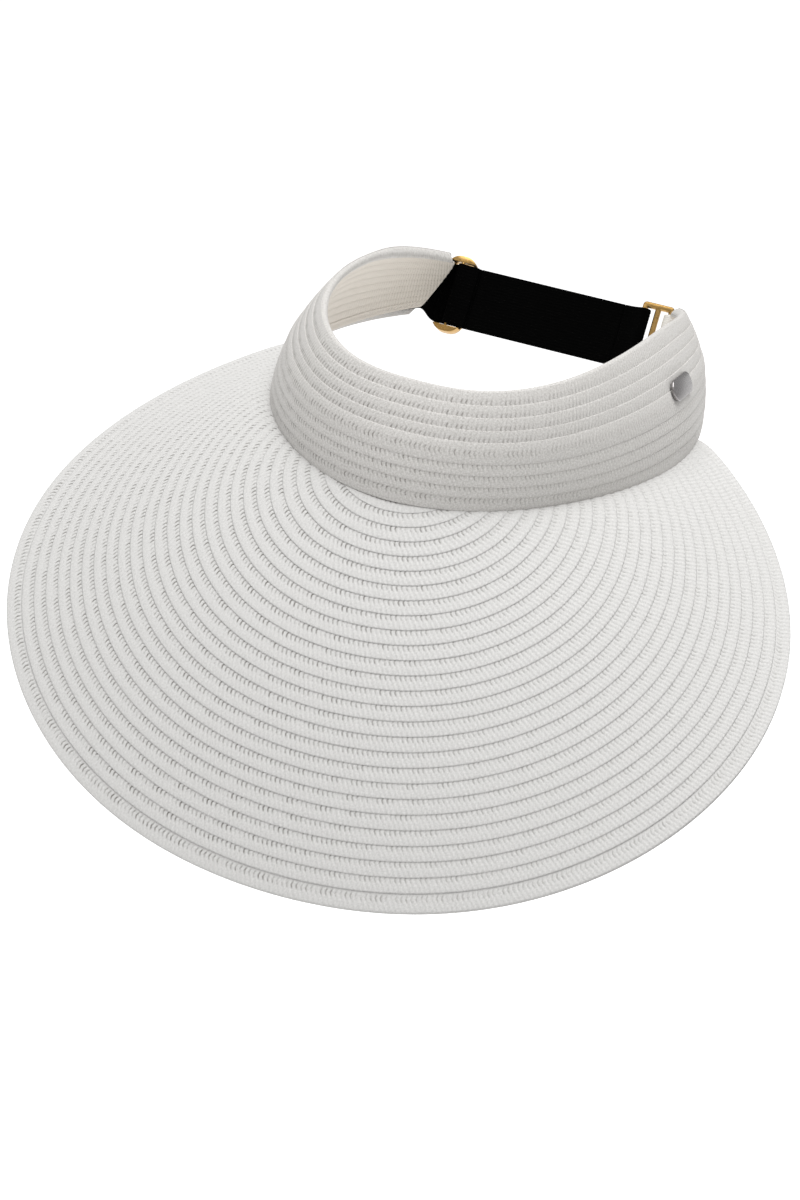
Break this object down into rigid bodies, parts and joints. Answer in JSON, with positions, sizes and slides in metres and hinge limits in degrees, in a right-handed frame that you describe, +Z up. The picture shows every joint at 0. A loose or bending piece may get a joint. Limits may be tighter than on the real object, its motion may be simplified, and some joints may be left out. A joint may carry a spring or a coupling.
{
  "type": "braided straw sun visor",
  "caption": "Wide-brimmed sun visor of sewn straw braid with an open crown, a conical headband and an elastic back strap with slider and bar connector.",
  "frame": {"origin": "middle of the head opening, level with the headband's lower edge", "axes": "+Z up along the wearer's head, -Y towards the wearer's front, +X towards the wearer's left"},
  "size_m": [0.3164, 0.3247, 0.1791],
  "materials": {
    "straw_braid": "flat-plaited pale straw braid, matt with a faint sheen",
    "lining_braid": "the same braid, lining side",
    "elastic": "black woven elastic with fine ribs",
    "gold_metal": "gold-plated zinc casting, polished",
    "tab_webbing": "pale woven cotton tape",
    "silver_metal": "nickel plate with a polished rim and brushed face"
  },
  "bodies": {
    "visor": {"brim": "straw_braid", "rim_braid": "straw_braid", "headband_outer": "straw_braid", "headband_lining": "lining_braid", "strap_anchor": "elastic", "tab_loop": "tab_webbing", "tab_anchor": "tab_webbing", "badge": "silver_metal", "badge_washer": "silver_metal"},
    "connector": {"connector": "gold_metal"},
    "strap": {"strap_main": "elastic", "strap_return": "elastic"},
    "slider": {"slider": "gold_metal", "strap_end_loop": "elastic"}
  },
  "joints": [
    {"name": "connector_swing", "type": "hinge", "parent": "visor", "child": "connector", "pos_m": [0.0491, 0.0949, 0.0078], "axis": [0, 0.5, 0.866], "range_deg": [-15, 15], "stiffness_Nm_per_rad": 0.02},
    {"name": "strap_swing", "type": "hinge", "parent": "visor", "child": "strap", "pos_m": [-0.054, 0.0971, 0.00655], "axis": [0, 0.5, 0.866], "range_deg": [-2.2, 2.2]},
    {"name": "slider_slide", "type": "slide", "parent": "strap", "child": "slider", "axis": [1, 0, 0], "range_m": [0, 0.04], "deforming": ["strap_return"]}
  ],
  "couplings": [
    {"joint": "strap_swing", "follows": "connector_swing", "ratio": -0.1319}
  ]
}
